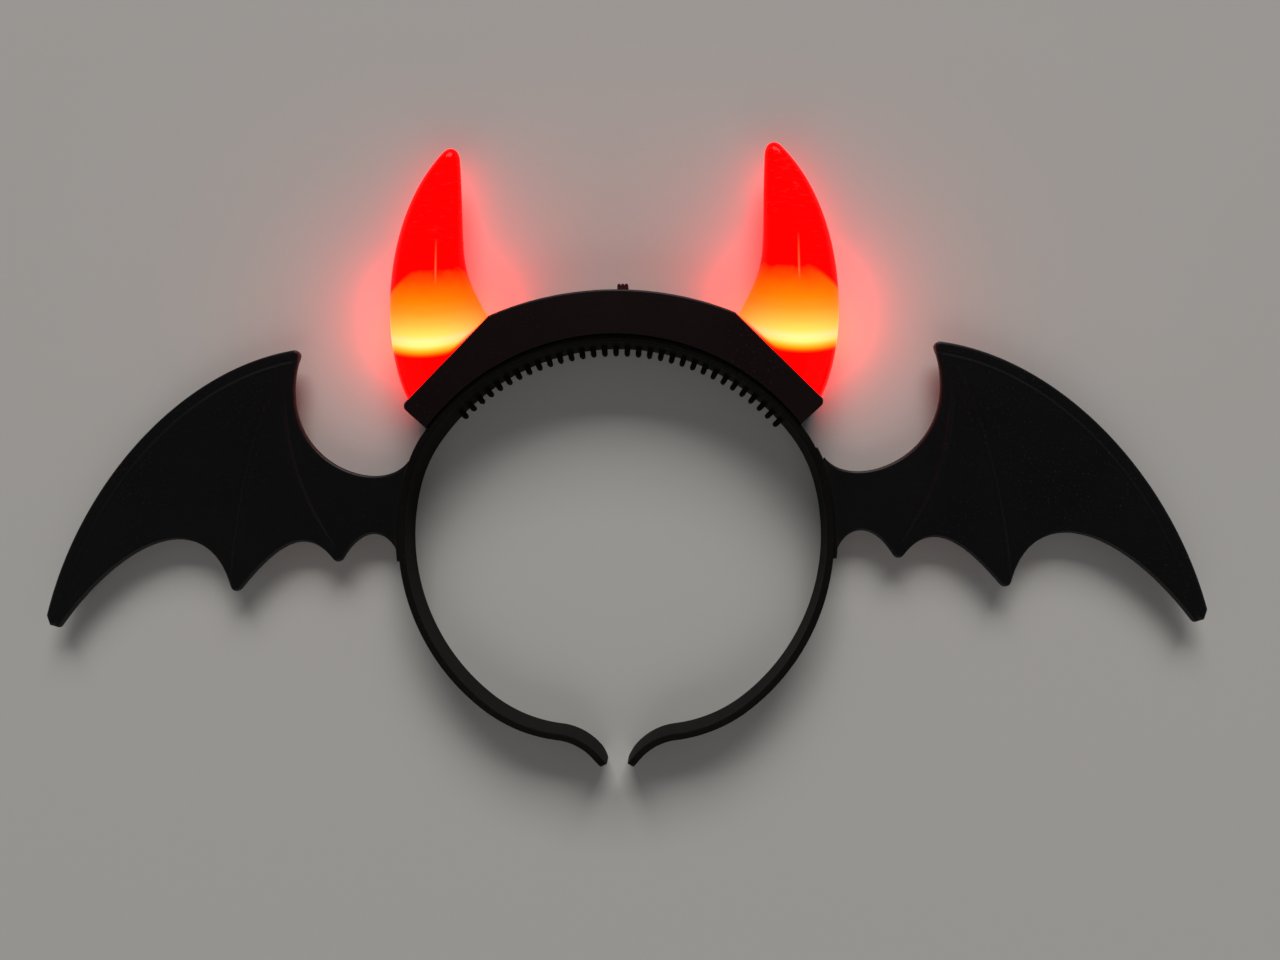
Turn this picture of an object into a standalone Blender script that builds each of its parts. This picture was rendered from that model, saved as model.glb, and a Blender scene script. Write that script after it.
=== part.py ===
"""Light-up devil horns headband with bat wings, lying on its back.

X runs across the head, Y up towards the horn tips and Z from the flat back to the front.
All sizes below are in millimetres, and plane points are measured from the ring's centre.
"""

import math

import bmesh
import bpy
from mathutils import Matrix, Vector
from mathutils.geometry import interpolate_bezier

MM = 0.001
GAP = 0.3

# Hair band: a ring of tangent arcs, named by the radius of its inner surface
CROWN_RADIUS = 65.4
CROWN_CENTRE_Y = -5.8
SHOULDER_RADIUS = 40.0
SIDE_RADIUS = 61.4
SIDE_CENTRE_Y = 3.5
SIDE_END_ANGLE = -52.0
HEEL_RADIUS = 42.0
HEEL_END_ANGLE = -83.0
CURL_RADIUS = 18.6
CURL_END_ANGLE = -28.0
BAND_THICKNESS = 2.0
BAND_CHAMFER = 0.35
BAND_WIDTH_TOP = 17.5
BAND_WIDTH_SIDE = 12.5
TAPER_END_ANGLE = 2.0
ARC_STEP = 4.4
CURL_STEP = 2.2

# Comb teeth inside the crown
TOOTH_COUNT = 32
TEETH_LEFT_OF_MIDDLE = 14.8
TOOTH_PITCH = 3.42
TOOTH_LENGTH = 3.0
TOOTH_WIDTH = 1.7
TOOTH_DEPTH = 3.2
TOOTH_MIDDLE_Z = 7.0
TOOTH_SUNK = 0.5
TOOTH_END_STEPS = 4

# Lamp housing over the crown
HOUSING_DEPTH = 18.5
HOUSING_TOP_Y = 74.3
HOUSING_TOP_RADIUS = 92.0
FLANK_START_X = 35.2
FLANK_END = (60.5, 41.7)
HOUSING_END_ANGLE = 37.6
HOUSING_CORNER = 1.8
HOUSING_EDGE = 0.7

# Slide switch on top of the housing, shown switched on
SLOT_CENTRE_X = 1.0
SWITCH_TRAVEL = 4.0
SLOT_DEPTH = 2.6
SLOT_HALF_Z = 2.0
KNOB_WIDTH = 3.2
KNOB_HALF_Z = 1.7
KNOB_RISE = 2.5
KNOB_RIDGES = 3
RIDGE_RISE = 0.5

# Horns on the flanks, each between an inner and an outer edge
HORN_BASE_START = 0.9
HORN_BASE_END = 35.0
HORN_INNER_HANDLES = ((46.2, 85.2), (43.2, 82.6))
HORN_INNER_END = (44.7, 114.5)
HORN_OUTER_HANDLES = ((69.4, 59.6), (68.0, 95.4))
HORN_OUTER_END = (51.0, 115.3)
HORN_BASE_DEPTH = 16.5
HORN_TIP_DEPTH = 6.0
HORN_DEPTH_POWER = 1.8
HORN_WALL = 1.4
HORN_RINGS = 13
HORN_SIDES = 24
HORN_HOLLOW_SHARE = 0.86
HORN_CAP_RINGS = 3

# Wings on the sides of the band, each a ribbed plate on a curved flange
WING_CORNERS = {
    "root_high": (60.3, 28.4),
    "claw": (93.3, 60.0),
    "tip": (171.5, -19.0),
    "tip_under": (167.4, -22.4),
    "finger": (114.9, -13.6),
    "tooth": (82.8, -4.5),
    "root_low": (65.0, -1.2),
}
WING_EDGES = (
    # from, first handle, second handle, to, steps
    ("root_high", (69.6, 14.9), (105.0, 27.3), "claw", 14),
    ("claw", (128.4, 56.1), (161.2, 21.4), "tip", 18),
    ("tip", (171.9, -22.0), (169.6, -24.2), "tip_under", 3),
    ("tip_under", (146.0, 7.2), (119.5, 13.5), "finger", 14),
    ("finger", (103.2, 0.3), (92.0, 10.1), "tooth", 11),
    ("tooth", (77.1, 7.1), (68.4, 7.1), "root_low", 8),
)
CORNER_RADII = {"claw": 1.5, "finger": 1.3, "tooth": 1.3}
PLATE_BACK_Z = 5.2
PLATE_THICKNESS = 2.2
PLATE_EDGE = 0.6
RIB_RISE = 0.45
RIB_EDGE = 0.35
RIM_WIDTH = 2.8
RIM_PROUD = 0.25
WING_RIBS = (
    # start, first handle, second handle, end, width at start, width at end
    ((98.4, 55.2), (107.5, 39.0), (113.2, 12.0), (114.7, -9.0), 2.4, 1.3),
    ((99.0, 48.0), (101.0, 33.0), (94.0, 14.0), (83.2, -1.0), 1.8, 1.2),
)
RIB_STEPS = 10
FLANGE_HIGH_Y = 29.0
FLANGE_LOW_Y = -3.4
FLANGE_THICKNESS = 1.2
FLANGE_BACK_Z = 2.6
FLANGE_FRONT_Z = 9.8
FLANGE_STEPS = 9


def direction(degrees):
    return Vector((math.cos(math.radians(degrees)), math.sin(math.radians(degrees))))


def shoulder_fit():
    """Centre of the shoulder arc, and the angles where it meets the crown and the side."""
    to_crown = CROWN_RADIUS - SHOULDER_RADIUS
    to_side = SIDE_RADIUS - SHOULDER_RADIUS
    y = to_crown**2 - to_side**2 + SIDE_CENTRE_Y**2 - CROWN_CENTRE_Y**2
    y /= 2 * (SIDE_CENTRE_Y - CROWN_CENTRE_Y)
    x = math.sqrt(to_crown**2 - (y - CROWN_CENTRE_Y) ** 2)
    crown_angle = math.degrees(math.atan2(y - CROWN_CENTRE_Y, x))
    side_angle = math.degrees(math.atan2(y - SIDE_CENTRE_Y, x))
    return Vector((x, y)), crown_angle, side_angle


def band_arcs():
    """The right half of the ring: centre, signed radius, first and last angle, step along it."""
    shoulder, crown_angle, side_angle = shoulder_fit()
    side = Vector((0, SIDE_CENTRE_Y))
    heel = side + (SIDE_RADIUS - HEEL_RADIUS) * direction(SIDE_END_ANGLE)
    curl = heel + (HEEL_RADIUS + CURL_RADIUS) * direction(HEEL_END_ANGLE)
    return (
        (Vector((0, CROWN_CENTRE_Y)), CROWN_RADIUS, 90.0, crown_angle, ARC_STEP),
        (shoulder, SHOULDER_RADIUS, crown_angle, side_angle, ARC_STEP),
        (side, SIDE_RADIUS, side_angle, SIDE_END_ANGLE, ARC_STEP),
        (heel, HEEL_RADIUS, SIDE_END_ANGLE, HEEL_END_ANGLE, ARC_STEP),
        (curl, -CURL_RADIUS, HEEL_END_ANGLE, CURL_END_ANGLE, CURL_STEP),
    )


def band_stations():
    """Points of the inner surface from the middle of the crown to the right tip, with normals."""
    stations = []
    for centre, radius, first, last, step in band_arcs():
        count = math.ceil(abs(radius * math.radians(last - first)) / step)
        for i in range(0 if not stations else 1, count + 1):
            angle = first + (last - first) * i / count
            stations.append((centre + radius * direction(angle), direction(angle), angle))
    return stations


def band_lowest_y():
    centre, radius, _, last, _ = band_arcs()[-1]
    return (centre + (radius + BAND_THICKNESS) * direction(last)).y


def horn_end_line():
    inner, outer = Vector(HORN_INNER_END), Vector(HORN_OUTER_END)
    return (inner + outer) / 2, (outer - inner).normalized(), (outer - inner).length / 2


def horn_highest_y():
    middle, across, half = horn_end_line()
    return middle.y + half * across.x


RING_CENTRE_Y = -(band_lowest_y() + horn_highest_y()) / 2


def material(name, colour, roughness, emission=None):
    made = bpy.data.materials.new(name)
    made.use_nodes = True
    shader = made.node_tree.nodes["Principled BSDF"]
    shader.inputs["Base Color"].default_value = (*colour, 1)
    shader.inputs["Roughness"].default_value = roughness
    shader.inputs["Metallic"].default_value = 0.0
    if emission:
        shader.inputs["Emission Color"].default_value = (*emission, 1)
        shader.inputs["Emission Strength"].default_value = 1.0
    return made


def add_object(name, bm, finish, parent, location=(0, 0, 0)):
    """Turns a bmesh in millimetres into an object in metres under its parent."""
    bmesh.ops.scale(bm, vec=(MM, MM, MM), verts=bm.verts)
    bmesh.ops.recalc_face_normals(bm, faces=bm.faces)
    mesh = bpy.data.meshes.new(name)
    bm.to_mesh(mesh)
    bm.free()
    mesh.shade_smooth()
    mesh.set_sharp_from_angle(angle=math.radians(35))
    if finish:
        mesh.materials.append(finish)
    made = bpy.data.objects.new(name, mesh)
    made.location = Vector(location) * MM
    made.parent = parent
    bpy.context.collection.objects.link(made)
    return made


def make_helper(helper):
    helper.hide_render = True
    helper.display_type = "WIRE"
    return helper


def add_prism(bm, outline, low, high):
    """Extrudes a plane outline from one height to another."""
    face = bm.faces.new([bm.verts.new((x, y, low)) for x, y in outline])
    raised = bmesh.ops.extrude_face_region(bm, geom=[face])["geom"]
    verts = [v for v in raised if isinstance(v, bmesh.types.BMVert)]
    bmesh.ops.translate(bm, vec=(0, 0, high - low), verts=verts)


def prism(outline, low, high):
    bm = bmesh.new()
    add_prism(bm, outline, low, high)
    return bm


def loft(bm, rings, close_ends=True):
    """Joins rings of equal count into a tube."""
    loops = [[bm.verts.new(point) for point in ring] for ring in rings]
    for low, high in zip(loops, loops[1:]):
        for i in range(len(low)):
            j = (i + 1) % len(low)
            bm.faces.new((low[i], low[j], high[j], high[i]))
    if close_ends:
        bm.faces.new(loops[0])
        bm.faces.new(loops[-1])
    return loops


def bevel(obj, width, segments):
    modifier = obj.modifiers.new("rounded edges", "BEVEL")
    modifier.width = width * MM
    modifier.segments = segments
    modifier.limit_method = "ANGLE"
    modifier.angle_limit = math.radians(50)


def boolean(obj, operation, other):
    modifier = obj.modifiers.new(other.name, "BOOLEAN")
    modifier.operation = operation
    modifier.object = other


def arc_points(centre, radius, first, last, steps):
    return [Vector(centre) + radius * direction(first + (last - first) * i / steps)
            for i in range(steps + 1)]


def fillet(before, corner, after, radius, steps=4):
    """Points of a round corner between two straight lines."""
    a, b = (before - corner).normalized(), (after - corner).normalized()
    half = a.angle(b) / 2
    centre = corner + (a + b).normalized() * radius / math.sin(half)
    start, end = corner + a * radius / math.tan(half), corner + b * radius / math.tan(half)
    first, last = (start - centre).normalized(), (end - centre).normalized()
    return [centre + radius * first.slerp(last, i / steps) for i in range(steps + 1)]


def band_width(angle, from_end):
    """Width of the band from back to front, tapered at the sides and rounded at the tips."""
    share = (angle - TAPER_END_ANGLE) / (HOUSING_END_ANGLE - TAPER_END_ANGLE)
    share = min(1.0, max(0.0, share))
    share = share * share * (3 - 2 * share)
    width = BAND_WIDTH_SIDE + (BAND_WIDTH_TOP - BAND_WIDTH_SIDE) * share
    radius = BAND_WIDTH_SIDE / 2
    if from_end < radius:
        width *= math.sqrt(max(0.0, 1 - (1 - max(from_end, 0.35) / radius) ** 2))
    return width


def band_section(point, normal, angle, from_end):
    """One slice of the band, a flat bar with cut corners."""
    width = band_width(angle, from_end)
    rounded = from_end < BAND_WIDTH_SIDE / 2
    back = BAND_WIDTH_SIDE / 2 - width / 2 if rounded else 0.0
    front = back + width
    cut = BAND_CHAMFER
    corners = (
        (0, back + cut), (cut, back), (BAND_THICKNESS - cut, back), (BAND_THICKNESS, back + cut),
        (BAND_THICKNESS, front - cut), (BAND_THICKNESS - cut, front), (cut, front), (0, front - cut),
    )
    return [(*(point + normal * out), z) for out, z in corners]


def mirrored_station(station):
    point, normal, angle, from_end = station
    return Vector((-point.x, point.y)), Vector((-normal.x, normal.y)), angle, from_end


def add_band(parent):
    stations = band_stations()
    lengths = [0.0]
    for (before, _, _), (after, _, _) in zip(stations, stations[1:]):
        lengths.append(lengths[-1] + (after - before).length)
    right = [(*station, lengths[-1] - length) for station, length in zip(stations, lengths)]
    left = [mirrored_station(station) for station in reversed(right[1:])]
    bm = bmesh.new()
    loft(bm, [band_section(*station) for station in left + right])
    finish = material("band plastic", (0.012, 0.011, 0.012), 0.42)
    band = add_object("band", bm, finish, parent)
    boolean(band, "UNION", add_teeth(parent))
    return band


def tooth_outline():
    """A tooth seen from the front, rooted at the origin and pointing down, with a round end."""
    half = TOOTH_WIDTH / 2
    end = arc_points((0, half - TOOTH_LENGTH), half, 0, -180, TOOTH_END_STEPS)
    return [Vector((half, TOOTH_SUNK)), *end, Vector((-half, TOOTH_SUNK))]


def add_teeth(parent):
    bm = bmesh.new()
    pitch = math.degrees(TOOTH_PITCH / CROWN_RADIUS)
    for i in range(TOOTH_COUNT):
        angle = 90 - (i - TEETH_LEFT_OF_MIDDLE) * pitch
        root = Vector((0, CROWN_CENTRE_Y)) + CROWN_RADIUS * direction(angle)
        turn = Matrix.Rotation(math.radians(angle - 90), 2)
        outline = [root + turn @ point for point in tooth_outline()]
        add_prism(bm, outline, TOOTH_MIDDLE_Z - TOOTH_DEPTH / 2, TOOTH_MIDDLE_Z + TOOTH_DEPTH / 2)
    return make_helper(add_object("comb teeth", bm, None, parent))


def flank():
    """Start and end of the housing's sloping right flank."""
    centre_y = HOUSING_TOP_Y - HOUSING_TOP_RADIUS
    start_y = centre_y + math.sqrt(HOUSING_TOP_RADIUS**2 - FLANK_START_X**2)
    return Vector((FLANK_START_X, start_y)), Vector(FLANK_END)


def housing_outline():
    start, end = flank()
    top_centre = Vector((0, HOUSING_TOP_Y - HOUSING_TOP_RADIUS))
    top_angle = math.degrees(math.acos(FLANK_START_X / HOUSING_TOP_RADIUS))
    top = arc_points(top_centre, HOUSING_TOP_RADIUS, 90, top_angle, 8)[:-1]
    seat = CROWN_RADIUS + BAND_THICKNESS + GAP
    below = arc_points((0, CROWN_CENTRE_Y), seat, HOUSING_END_ANGLE, 90, 14)
    right = [
        *top,
        *fillet(top[-1], start, end, HOUSING_CORNER),
        *fillet(start, end, below[0], HOUSING_CORNER),
        *below,
    ]
    left = [Vector((-p.x, p.y)) for p in reversed(right[1:-1])]
    return right + left


def add_housing(parent):
    finish = material("housing plastic", (0.013, 0.012, 0.013), 0.45)
    housing = add_object("housing", prism(housing_outline(), 0, HOUSING_DEPTH), finish, parent)
    bevel(housing, HOUSING_EDGE, 2)
    half = KNOB_WIDTH / 2 + SWITCH_TRAVEL / 2 + GAP
    low, high = HOUSING_TOP_Y - SLOT_DEPTH, HOUSING_TOP_Y + SLOT_DEPTH
    left, right = SLOT_CENTRE_X - half, SLOT_CENTRE_X + half
    outline = ((left, low), (right, low), (right, high), (left, high))
    middle = HOUSING_DEPTH / 2
    slot = prism(outline, middle - SLOT_HALF_Z, middle + SLOT_HALF_Z)
    boolean(housing, "DIFFERENCE", make_helper(add_object("switch slot", slot, None, parent)))
    return housing


def knob_outline():
    """The ridged knob from the front, measured from where the slot's floor is."""
    half = KNOB_WIDTH / 2
    shoulder = SLOT_DEPTH + KNOB_RISE
    pitch = KNOB_WIDTH / KNOB_RIDGES
    outline = [(-half, GAP), (half, GAP), (half, shoulder)]
    for i in range(KNOB_RIDGES):
        right = half - i * pitch
        outline += [(right - 0.2 * pitch, shoulder + RIDGE_RISE),
                    (right - 0.8 * pitch, shoulder + RIDGE_RISE),
                    (right - pitch, shoulder)]
    return outline


def add_switch(parent):
    finish = material("switch plastic", (0.035, 0.006, 0.008), 0.4)
    x = SLOT_CENTRE_X + SWITCH_TRAVEL / 2
    bm = prism(knob_outline(), -KNOB_HALF_Z, KNOB_HALF_Z)
    place = (x, HOUSING_TOP_Y - SLOT_DEPTH, HOUSING_DEPTH / 2)
    return add_object("switch_knob", bm, finish, parent, place)


def horn_sections():
    """Middle, direction across, half width and half depth of each slice, flank to tip."""
    start, end = flank()
    along = (end - start).normalized()
    out = Vector((-along.y, along.x))
    inner_base = start + along * HORN_BASE_START + out * GAP
    outer_base = start + along * HORN_BASE_END + out * GAP
    inner_edge = interpolate_bezier(
        inner_base, *map(Vector, HORN_INNER_HANDLES), Vector(HORN_INNER_END), HORN_RINGS)
    outer_edge = interpolate_bezier(
        outer_base, *map(Vector, HORN_OUTER_HANDLES), Vector(HORN_OUTER_END), HORN_RINGS)
    sections = []
    for i, (inner, outer) in enumerate(zip(inner_edge, outer_edge)):
        share = (i / (HORN_RINGS - 1)) ** HORN_DEPTH_POWER
        depth = HORN_BASE_DEPTH + (HORN_TIP_DEPTH - HORN_BASE_DEPTH) * share
        across = (outer - inner).normalized()
        sections.append(((inner + outer) / 2, across, (outer - inner).length / 2, depth / 2))
    return sections


def horn_ring(section, wall, side):
    middle, across, half_width, half_depth = section
    ring = []
    for i in range(HORN_SIDES):
        turn = direction(360 * i / HORN_SIDES)
        point = middle + across * (half_width - wall) * turn.x
        z = HOUSING_DEPTH / 2 + (half_depth - wall) * turn.y
        ring.append((side * point.x, point.y, z))
    return ring


def add_horn(name, side, parent):
    """A hollow horn, open where its rim sits on the flank."""
    sections = horn_sections()
    middle, across, half, half_depth = sections[-1]
    up = Vector((-across.y, across.x))
    cap = []
    for i in range(1, HORN_CAP_RINGS + 1):
        turn = direction(90 * i / (HORN_CAP_RINGS + 1))
        cap.append((middle + up * half * turn.y, across, half * turn.x, half_depth * turn.x))
    hollow = sections[: round(HORN_RINGS * HORN_HOLLOW_SHARE)]
    bm = bmesh.new()
    outside = loft(bm, [horn_ring(s, 0, side) for s in sections + cap], close_ends=False)
    inside = loft(bm, [horn_ring(s, HORN_WALL, side) for s in hollow], close_ends=False)
    tip = middle + up * half
    tip_vert = bm.verts.new((side * tip.x, tip.y, HOUSING_DEPTH / 2))
    for i in range(HORN_SIDES):
        j = (i + 1) % HORN_SIDES
        bm.faces.new((outside[-1][i], outside[-1][j], tip_vert))
        bm.faces.new((outside[0][i], outside[0][j], inside[0][j], inside[0][i]))
    bm.faces.new(inside[-1])
    finish = material(name + " plastic", (0.8, 0.01, 0.01), 0.25, emission=(1.0, 0.05, 0.01))
    return add_object(name, bm, finish, parent)


def edge_curve(start, first, second, end, steps):
    return [p.to_2d() for p in interpolate_bezier(
        *(Vector(p).to_3d() for p in (start, first, second, end)), steps + 1)]


def offset_curve(points, distances):
    """Moves each point sideways, to the left of the way the curve runs."""
    moved = []
    for i, point in enumerate(points):
        run = points[min(i + 1, len(points) - 1)] - points[max(i - 1, 0)]
        side = Vector((-run.y, run.x)).normalized()
        moved.append(point + side * distances[i])
    return moved


def wing_edges():
    """The wing's edges by the corner where each starts, as lists of points."""
    return {start: edge_curve(WING_CORNERS[start], first, second, WING_CORNERS[end], steps)
            for start, first, second, end, steps in WING_EDGES}


def wing_corner(name):
    """Points round a corner, or the corner itself where it stays sharp."""
    corner = Vector(WING_CORNERS[name])
    if name not in CORNER_RADII:
        return [corner]
    before = next(edge for edge in wing_edges().values() if (edge[-1] - corner).length < GAP)
    return fillet(before[-2], corner, wing_edges()[name][1], CORNER_RADII[name])


def wing_outline():
    outline = []
    for start, edge in wing_edges().items():
        outline += wing_corner(start) + edge[1:-1]
    root = flange_curve(GAP + FLANGE_THICKNESS / 2)
    low, high = Vector(WING_CORNERS["root_low"]), Vector(WING_CORNERS["root_high"])
    return outline + [low] + [p for p in reversed(root) if low.y + 1 < p.y < high.y - 1]


def flange_curve(off):
    """Points beside the band's outer surface, from the flange's high end to its low end."""
    shoulder, _, side_angle = shoulder_fit()
    out = BAND_THICKNESS + off
    high = math.degrees(math.asin((FLANGE_HIGH_Y - shoulder.y) / (SHOULDER_RADIUS + out)))
    low = math.degrees(math.asin((FLANGE_LOW_Y - SIDE_CENTRE_Y) / (SIDE_RADIUS + out)))
    upper = arc_points(shoulder, SHOULDER_RADIUS + out, high, side_angle, 4)
    lower = arc_points((0, SIDE_CENTRE_Y), SIDE_RADIUS + out, side_angle, low, FLANGE_STEPS)
    return upper[:-1] + lower


def rim_outline():
    """The thick leading edge, from just inside the rounded claw to the wing's tip."""
    claw, edge = wing_corner("claw"), wing_edges()["claw"]
    rounded = offset_curve(claw, [-RIM_PROUD] * len(claw))
    outer = offset_curve(edge, [RIM_PROUD] * (len(edge) - 2) + [0, -RIM_PROUD])
    inner = offset_curve(edge, [-RIM_WIDTH] * len(edge))
    return rounded + outer[1:] + inner[:0:-1]


def rib_outline(start, first, second, end, width_start, width_end):
    line = edge_curve(start, first, second, end, RIB_STEPS)
    halves = [(width_start + (width_end - width_start) * i / RIB_STEPS) / 2
              for i in range(RIB_STEPS + 1)]
    right = offset_curve(line, [-half for half in halves])
    return offset_curve(line, halves) + right[::-1]


def turned(outline, side):
    return [(side * x, y) for x, y in outline]


def add_wing(name, side, parent):
    plate = prism(turned(wing_outline(), side), PLATE_BACK_Z, PLATE_BACK_Z + PLATE_THICKNESS)
    finish = material(name + " plastic", (0.012, 0.011, 0.012), 0.4)
    wing = add_object(name, plate, finish, parent)
    bevel(wing, PLATE_EDGE, 2)
    ribs = [rim_outline()] + [rib_outline(*rib) for rib in WING_RIBS]
    low, high = PLATE_BACK_Z - RIB_RISE, PLATE_BACK_Z + PLATE_THICKNESS + RIB_RISE
    for i, outline in enumerate(ribs):
        bar = add_object(f"{name} bar {i}", prism(turned(outline, side), low, high), None, parent)
        bevel(bar, RIB_EDGE, 1)
        boolean(wing, "UNION", make_helper(bar))
    inner = flange_curve(GAP)
    outer = flange_curve(GAP + FLANGE_THICKNESS)
    outline = turned(inner + outer[::-1], side)
    flange = add_object(f"{name} flange", prism(outline, FLANGE_BACK_Z, FLANGE_FRONT_Z), None, parent)
    bevel(flange, RIB_EDGE, 1)
    boolean(wing, "UNION", make_helper(flange))
    return wing


def clear_scene():
    for obj in list(bpy.data.objects):
        bpy.data.objects.remove(obj, do_unlink=True)


def build():
    clear_scene()
    ring_centre = bpy.data.objects.new("ring_centre", None)
    ring_centre.location = (0, RING_CENTRE_Y * MM, 0)
    bpy.context.collection.objects.link(ring_centre)
    add_band(ring_centre)
    add_housing(ring_centre)
    add_switch(ring_centre)
    for name, side in (("left", -1), ("right", 1)):
        add_horn("horn_" + name, side, ring_centre)
        add_wing("wing_" + name, side, ring_centre)


build()
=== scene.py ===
"""Light-up devil horns headband with bat wings, lying on its back on a pale floor.

Plane sizes are in millimetres about the ring's centre: X across the head, Y up to the horn
tips. Heights are in millimetres above the flat back.
"""

import math

import bmesh
import bpy
from mathutils import Matrix, Vector
from mathutils.geometry import delaunay_2d_cdt, interpolate_bezier
from mathutils.kdtree import KDTree


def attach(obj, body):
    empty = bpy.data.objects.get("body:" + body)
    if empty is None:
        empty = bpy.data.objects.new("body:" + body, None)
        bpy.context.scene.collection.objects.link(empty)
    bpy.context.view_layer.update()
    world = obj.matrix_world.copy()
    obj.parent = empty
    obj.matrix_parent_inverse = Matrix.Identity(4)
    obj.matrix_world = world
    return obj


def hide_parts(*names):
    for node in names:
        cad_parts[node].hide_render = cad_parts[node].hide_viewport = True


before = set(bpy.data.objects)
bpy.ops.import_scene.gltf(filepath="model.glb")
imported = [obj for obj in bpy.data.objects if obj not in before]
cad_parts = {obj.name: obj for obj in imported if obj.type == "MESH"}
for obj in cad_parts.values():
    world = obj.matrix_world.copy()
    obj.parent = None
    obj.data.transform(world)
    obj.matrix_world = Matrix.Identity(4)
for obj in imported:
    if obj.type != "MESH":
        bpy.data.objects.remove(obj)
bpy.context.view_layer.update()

# Hair band: one strip of stiff black plastic, widest over the crown, with heels that curl
# outwards at rounded tips. It is moulded flat on its back, with softly rounded edges.

MM = 0.001
RING_CENTRE_Y = -26.954
CROWN_RADIUS = 65.4
CROWN_CENTRE_Y = -5.8
SHOULDER_RADIUS = 40.0
SIDE_RADIUS = 61.4
SIDE_CENTRE_Y = 3.5
SIDE_END_ANGLE = -52.0
HEEL_RADIUS = 42.0
HEEL_END_ANGLE = -83.0
CURL_RADIUS = 18.6
CURL_END_ANGLE = -28.0
BAND_THICKNESS = 2.0
BAND_EDGE = 0.35
BAND_WIDTH_TOP = 17.5
BAND_WIDTH_SIDE = 12.5
TIP_CORNER = 4.2
STATION_STEP = 1.0
TAPER_START_ANGLE = 37.6
TAPER_END_ANGLE = 2.0
BAR_DEPTH = 0.01
GRAIN_DISTANCE = 0.00006
CLOUD_ROUGHENS = 0.16
RUBBING_SMOOTHS = 0.12
DUST_ROUGHENS = 0.5
DUST_COLOUR = (0.16, 0.15, 0.14, 1)


def direction(degrees):
    return Vector((math.cos(math.radians(degrees)), math.sin(math.radians(degrees))))


def smooth_step(low, high, value):
    share = min(1.0, max(0.0, (value - low) / (high - low)))
    return share * share * (3 - 2 * share)


def shoulder_fit():
    """Centre of the shoulder arc, and the angles where it meets the crown and the side."""
    to_crown = CROWN_RADIUS - SHOULDER_RADIUS
    to_side = SIDE_RADIUS - SHOULDER_RADIUS
    y = to_crown**2 - to_side**2 + SIDE_CENTRE_Y**2 - CROWN_CENTRE_Y**2
    y /= 2 * (SIDE_CENTRE_Y - CROWN_CENTRE_Y)
    x = math.sqrt(to_crown**2 - (y - CROWN_CENTRE_Y) ** 2)
    crown_angle = math.degrees(math.atan2(y - CROWN_CENTRE_Y, x))
    side_angle = math.degrees(math.atan2(y - SIDE_CENTRE_Y, x))
    return Vector((x, y)), crown_angle, side_angle


def band_arcs():
    """The right half of the ring: centre, signed radius, first and last angle of each arc."""
    shoulder, crown_angle, side_angle = shoulder_fit()
    side = Vector((0, SIDE_CENTRE_Y))
    heel = side + (SIDE_RADIUS - HEEL_RADIUS) * direction(SIDE_END_ANGLE)
    curl = heel + (HEEL_RADIUS + CURL_RADIUS) * direction(HEEL_END_ANGLE)
    return (
        (Vector((0, CROWN_CENTRE_Y)), CROWN_RADIUS, 90.0, crown_angle),
        (shoulder, SHOULDER_RADIUS, crown_angle, side_angle),
        (side, SIDE_RADIUS, side_angle, SIDE_END_ANGLE),
        (heel, HEEL_RADIUS, SIDE_END_ANGLE, HEEL_END_ANGLE),
        (curl, -CURL_RADIUS, HEEL_END_ANGLE, CURL_END_ANGLE),
    )


def arc_length(arc):
    return abs(arc[1] * math.radians(arc[3] - arc[2]))


def band_at(distance):
    """Inner surface point, outward normal and arc angle at a distance from the middle."""
    for arc in band_arcs():
        centre, radius, first, last = arc
        share = distance / arc_length(arc)
        if share <= 1:
            break
        distance -= arc_length(arc)
    angle = first + (last - first) * min(share, 1.0)
    return centre + radius * direction(angle), direction(angle), angle


def band_stations():
    """Spine point, outward normal, back and front edge and share of thickness of each slice."""
    half_length = sum(arc_length(arc) for arc in band_arcs())
    straight = math.floor((half_length - TIP_CORNER) / STATION_STEP)
    distances = [STATION_STEP * i for i in range(straight)]
    distances += [half_length - TIP_CORNER * (1 - math.cos(math.radians(a)))
                  for a in range(90, 3, -5)]
    stations = []
    for distance in distances:
        point, normal, angle = band_at(distance)
        from_end = half_length - distance
        share = smooth_step(TAPER_END_ANGLE, TAPER_START_ANGLE, angle)
        width = BAND_WIDTH_SIDE + (BAND_WIDTH_TOP - BAND_WIDTH_SIDE) * share
        back, full = 0.0, 1.0
        if from_end < TIP_CORNER:
            back = TIP_CORNER - math.sqrt(TIP_CORNER**2 - (TIP_CORNER - from_end) ** 2)
            width -= 2 * back
        if from_end < BAND_EDGE:
            cut = BAND_EDGE - math.sqrt(BAND_EDGE**2 - (BAND_EDGE - from_end) ** 2)
            full = 1 - 2 * cut / BAND_THICKNESS
        stations.append((point, normal, back, back + width, full))
    left = [(Vector((-p.x, p.y)), Vector((-n.x, n.y)), *rest)
            for p, n, *rest in reversed(stations[1:])]
    return left + stations


def on_headband(x, y, z):
    """A point of the headband in metres."""
    return Vector((x, y + RING_CENTRE_Y, z)) * MM


def place(tree, kind, inputs=None, **settings):
    """Adds a node, sets its properties, and links or sets its inputs."""
    node = tree.nodes.new(kind)
    for name, value in settings.items():
        setattr(node, name, value)
    for name, value in (inputs or {}).items():
        socket = node.inputs[name]
        if isinstance(value, bpy.types.NodeSocket):
            tree.links.new(value, socket)
        else:
            socket.default_value = value
    return node


def calculate(tree, operation, *values, clamp=False):
    """One step of arithmetic on numbers or sockets."""
    inputs = dict(enumerate(values))
    return place(tree, "ShaderNodeMath", inputs, operation=operation, use_clamp=clamp).outputs[0]


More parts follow.
